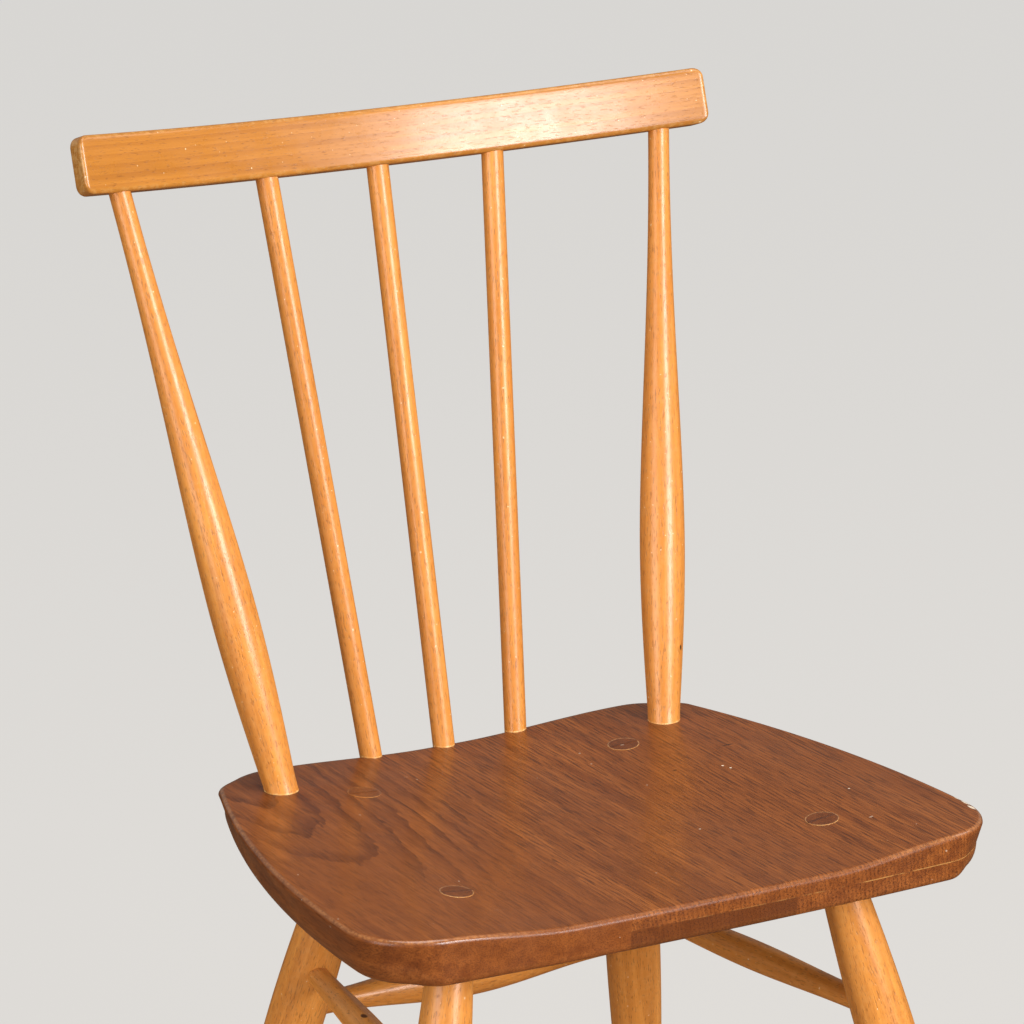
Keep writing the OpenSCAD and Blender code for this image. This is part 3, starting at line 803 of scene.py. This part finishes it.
def stretcher(name, node, start, end, radius, shift):
    way = (end - start).normalized()
    start, end = start + way * stretchers["short"], end - way * stretchers["short"]
    plain = (stretchers["straight"] - stretchers["short"]) / (end - start).length
    return stick(name, [node], beechUnder, start, end,
                 (stretchers["endRadius"], radius, stretchers["endRadius"]), 0.5, shift,
                 swell=1.0, plain=plain, rings=stretchers["rings"], sides=stretchers["sides"])


sideZ, rearZ = seat["rim"] - stretchers["sideDrop"], seat["rim"] - stretchers["rearDrop"]
for side, hand in ((-1, "Left"), (1, "Right")):
    stretcher(f"sideStretcher{hand}", f"side_stretcher_{hand.lower()}", legAt(side, True, sideZ),
              legAt(side, False, sideZ), stretchers["sideRadius"], (0.41, 0.1 * side, 0.2))
stretcher("rearStretcher", "rear_stretcher", legAt(-1, True, rearZ), legAt(1, True, rearZ),
          stretchers["rearRadius"], (0.61, 0.3, 0.5))
print("stretchers made")

# ---- back: crest rail, posts and spindles ----

backRest = {
    "postX": 0.135, "postIn": 0.053, "postTopX": 0.1872,
    "postRadii": (0.0103, 0.0143, 0.0067), "postMid": 0.29,
    "spindleGap": 0.0514, "spindleIn": 0.0096, "spindleTopGap": 0.0788, "spindleRadius": 0.0070,
    "railRise": 0.353, "railBack": 0.0586, "lean": math.radians(16.8),
    "railRadius": 0.630, "railThick": 0.0170, "railHigh": 0.0356, "railLong": 0.432,
    "edgeRound": 0.0032, "cornerRound": 0.0065, "sunk": 0.0002, "into": 0.012,
    "edgeSteps": 6, "cornerSteps": 12, "railSteps": 180, "flatStep": 0.0025,
    "edgeWorn": 0.25, "endWorn": 0.4, "endFade": 0.004,
    "postPlain": 0.016, "postRings": 160, "spindleRings": 60, "spindleSides": 56,
}


def railPoint(x, into, up):
    # the rail's face is part of an upright drum that leans back with the rail
    y = math.sqrt((backRest["railRadius"] + into) ** 2 - x * x) - backRest["railRadius"]
    c, s = math.cos(backRest["lean"]), math.sin(backRest["lean"])
    return Vector((x, seat["rearY"] + backRest["railBack"] + y * c + up * s,
                   seat["rim"] + backRest["railRise"] - y * s + up * c))


def railSeat(x):
    return railPoint(x, backRest["railThick"] / 2, 0.0)


railWay = Vector((0, math.sin(backRest["lean"]), math.cos(backRest["lean"])))
railCut = (railPoint(0, 0, 0) + railWay * backRest["sunk"], railWay)


def crestRail():
    b = backRest
    half, corner, edge = b["railLong"] / 2, b["cornerRound"], b["edgeRound"]
    section = []
    for cx, cy, a0 in ((edge, edge, 180), (b["railThick"] - edge, edge, 270),
                       (b["railThick"] - edge, b["railHigh"] - edge, 0), (edge, b["railHigh"] - edge, 90)):
        for i in range(b["edgeSteps"] + 1):
            a = math.radians(a0 + 90 * i / b["edgeSteps"])
            section.append((cx + edge * math.cos(a) - b["railThick"] / 2,
                            cy + edge * math.sin(a) - b["railHigh"] / 2, abs(math.sin(2 * a))))
    # more points along the flats, so the worn look fades smoothly
    dense = []
    for p, q in zip(section, section[1:] + section[:1]):
        gap = math.dist(p[:2], q[:2])
        n = max(1, round(gap / b["flatStep"]))
        for i in range(n):
            t = i / n
            dense.append((mix(p[0], q[0], t), mix(p[1], q[1], t), mix(p[2], q[2], t) if n == 1 else 0.0))
    # sections along the rail, close together where its corners round off
    turns = [math.radians(90 * i / b["cornerSteps"]) for i in range(b["cornerSteps"] + 1)]
    ends = [half - corner * (1 - math.cos(a)) for a in turns]
    body = np.linspace(corner - half, half - corner, b["railSteps"])[1:-1]
    xs = sorted({round(float(x), 7) for x in (*ends, *(-x for x in ends), *body)})
    verts, faces, grain, worn = [], [], [], []
    for x in xs:
        near = max(0.0, abs(x) - (half - corner))
        tall = corner - math.sqrt(max(corner ** 2 - near ** 2, 0.0))
        nearEdge = max(0.0, abs(x) - (half - edge))
        thin = edge - math.sqrt(max(edge ** 2 - nearEdge ** 2, 0.0))
        for into, up, w in dense:
            u = into * (1 - thin / (b["railThick"] / 2)) + b["railThick"] / 2
            v = up * (1 - tall / (b["railHigh"] / 2)) + b["railHigh"] / 2
            verts.append(railPoint(x, u, v))
            grain.append((u, v, b["railRadius"] * math.asin(x / b["railRadius"])))
            worn.append(max(b["edgeWorn"] * w, smooth(half - b["endFade"], half, abs(x)) * b["endWorn"]))
    n = len(dense)
    for k in range(len(xs) - 1):
        for i in range(n):
            j = (i + 1) % n
            faces.append((k * n + i, k * n + j, (k + 1) * n + j, (k + 1) * n + i))
    faces.append(tuple(reversed(range(n))))
    faces.append(tuple((len(xs) - 1) * n + i for i in range(n)))
    mesh = bpy.data.meshes.new("crestRail")
    mesh.from_pydata(verts, [], faces)
    storeVectors(mesh, "grain", grain)
    storeValues(mesh, "worn", worn)
    part = bmesh.new()
    part.from_mesh(mesh)
    bmesh.ops.recalc_face_normals(part, faces=part.faces[:])
    part.to_mesh(mesh)
    part.free()
    mesh.materials.append(beechRail)
    return finishPiece(newObject("crestRail", mesh), ["crest_rail"])


crestRail()
for side, hand in ((-1, "Left"), (1, "Right")):
    base = Vector((side * backRest["postX"], seat["rearY"] - backRest["postIn"],
                   seat["rim"] - cadDish(backRest["postX"])))
    top = railSeat(side * backRest["postTopX"])
    stick(f"backPost{hand}", [f"back_post_{hand.lower()}"], beechBack, base, top,
          backRest["postRadii"], backRest["postMid"], (0.09, 0.2 * side, 0.3 * side), endCut=railCut,
          plain=backRest["postPlain"], extra=backRest["into"], rings=backRest["postRings"],
          collar=seatCollar(base, top))
for i, hand in ((-1, "Left"), (0, "Centre"), (1, "Right")):
    base = Vector((i * backRest["spindleGap"], seat["rearY"] - backRest["spindleIn"],
                   seat["rim"] - cadDish(i * backRest["spindleGap"])))
    top = railSeat(i * backRest["spindleTopGap"])
    r = backRest["spindleRadius"]
    stick(f"spindle{hand}", [f"spindle_{hand.lower()}"], beechBack, base, top,
          (r, r, r), 0.5, (0.33 + 0.17 * i, 0.1, 0.7 * i), endCut=railCut,
          extra=backRest["into"], rings=backRest["spindleRings"], sides=backRest["spindleSides"],
          collar=seatCollar(base, top))
print("back made")

# ---- floor, light and camera ----

studio = {
    "floorColour": (0.34, 0.28, 0.22), "floorGloss": (0.13, 0.09, 0.06), "floorSize": 30.0, "floorRough": 0.9,
    "floorSeen": (0.86, 0.85, 0.83), "floorSeenShare": 0.76, "floorDrop": 0.0002,
    "worldColour": (0.86, 0.84, 0.80), "worldLight": 0.42, "worldGloss": 0.25, "worldSeen": 0.86,
    "lamps": {
        "keyLamp": {"azimuth": 14, "elevation": 20, "distance": 3.4, "size": (1.3, 1.6), "power": 130},
        "leftLamp": {"azimuth": -72, "elevation": 12, "distance": 3.0, "size": (1.6, 1.6), "power": 38},
        "rightLamp": {"azimuth": 78, "elevation": 38, "distance": 3.0, "size": (1.2, 1.2), "power": 9},
        "topLamp": {"azimuth": 10, "elevation": 84, "distance": 2.8, "size": (2.0, 2.0), "power": 42},
    },
    "target": (0.0, 0.0, 0.50),
}


def floorMaterial():
    # plain and pale to the camera, with the shadow kept; other rays meet a darker floor
    made, nodes, links = newMaterial("paleFloor")
    shader = addNode(nodes, "ShaderNodeBsdfPrincipled")
    path = addNode(nodes, "ShaderNodeLightPath")
    bare = addNode(nodes, "ShaderNodeMix", data_type="RGBA")
    links.new(path.outputs["Is Glossy Ray"], bare.inputs["Factor"])
    bare.inputs[6].default_value = (*studio["floorColour"], 1)
    bare.inputs[7].default_value = (*studio["floorGloss"], 1)
    links.new(bare.outputs[2], shader.inputs["Base Color"])
    shader.inputs["Roughness"].default_value = studio["floorRough"]
    shader.inputs["Specular IOR Level"].default_value = 0.0
    glow = addNode(nodes, "ShaderNodeEmission")
    glow.inputs["Color"].default_value = (*studio["floorSeen"], 1)
    part = addNode(nodes, "ShaderNodeMath", operation="MULTIPLY")
    links.new(path.outputs["Is Camera Ray"], part.inputs[0])
    part.inputs[1].default_value = studio["floorSeenShare"]
    both = addNode(nodes, "ShaderNodeMixShader")
    links.new(part.outputs[0], both.inputs["Fac"])
    links.new(shader.outputs["BSDF"], both.inputs[1])
    links.new(glow.outputs["Emission"], both.inputs[2])
    output = addNode(nodes, "ShaderNodeOutputMaterial")
    links.new(both.outputs["Shader"], output.inputs["Surface"])
    return made


def worldStrength(nodes, links):
    # the camera sees a pale room; reflections see a dimmer one
    path = addNode(nodes, "ShaderNodeLightPath")
    toGloss, toCamera = (addNode(nodes, "ShaderNodeMix", data_type="FLOAT") for _ in range(2))
    links.new(path.outputs["Is Glossy Ray"], toGloss.inputs["Factor"])
    toGloss.inputs[2].default_value = studio["worldLight"]
    toGloss.inputs[3].default_value = studio["worldGloss"]
    links.new(path.outputs["Is Camera Ray"], toCamera.inputs["Factor"])
    links.new(toGloss.outputs[0], toCamera.inputs[2])
    toCamera.inputs[3].default_value = studio["worldSeen"]
    return toCamera.outputs[0]


def makeStudio():
    half = studio["floorSize"] / 2
    mesh = bpy.data.meshes.new("floor")
    corners = [(-half, -half, 0), (half, -half, 0), (half, half, 0), (-half, half, 0)]
    mesh.from_pydata(corners, [], [(0, 1, 2, 3)])
    mesh.materials.append(floorMaterial())
    floor = newObject("floor", mesh)
    floor.location.z = -studio["floorDrop"]
    world = bpy.data.worlds.new("studioWorld")
    bpy.context.scene.world = world
    world.use_nodes = True
    nodes, links = world.node_tree.nodes, world.node_tree.links
    nodes.clear()
    light = addNode(nodes, "ShaderNodeBackground")
    light.inputs["Color"].default_value = (*studio["worldColour"], 1)
    links.new(worldStrength(nodes, links), light.inputs["Strength"])
    output = addNode(nodes, "ShaderNodeOutputWorld")
    links.new(light.outputs[0], output.inputs["Surface"])
    target = Vector(studio["target"])
    for name, lamp in studio["lamps"].items():
        data = bpy.data.lights.new(name, "AREA")
        data.shape = "RECTANGLE"
        data.size, data.size_y = lamp["size"]
        data.energy = lamp["power"]
        a, e = math.radians(lamp["azimuth"]), math.radians(lamp["elevation"])
        way = Vector((math.sin(a) * math.cos(e), -math.cos(a) * math.cos(e), math.sin(e)))
        obj = bpy.data.objects.new(name, data)
        bpy.context.scene.collection.objects.link(obj)
        obj.location = target + way * lamp["distance"]
        obj.rotation_euler = way.to_track_quat("Z", "Y").to_euler()


view = {"at": (-1.30993, -2.35892, 1.35961), "lens": 165.2, "sensor": 36.0, "farthest": 100,
        "right": (0.875556, -0.482986, -0.011263), "up": (0.138571, 0.228731, 0.963577),
        "forward": (0.462818, 0.845226, -0.267195)}


def makeCamera():
    data = bpy.data.cameras.new("camera")
    data.sensor_width = view["sensor"]
    data.lens = view["lens"]
    data.clip_end = view["farthest"]
    camera = bpy.data.objects.new("camera", data)
    bpy.context.scene.collection.objects.link(camera)
    turn = Matrix((Vector(view["right"]), Vector(view["up"]), -Vector(view["forward"]))).transposed()
    camera.matrix_world = Matrix.Translation(view["at"]) @ turn.to_4x4()
    bpy.context.scene.camera = camera


makeStudio()
makeCamera()
bpy.context.scene.view_settings.view_transform = "Standard"
print("studio made")
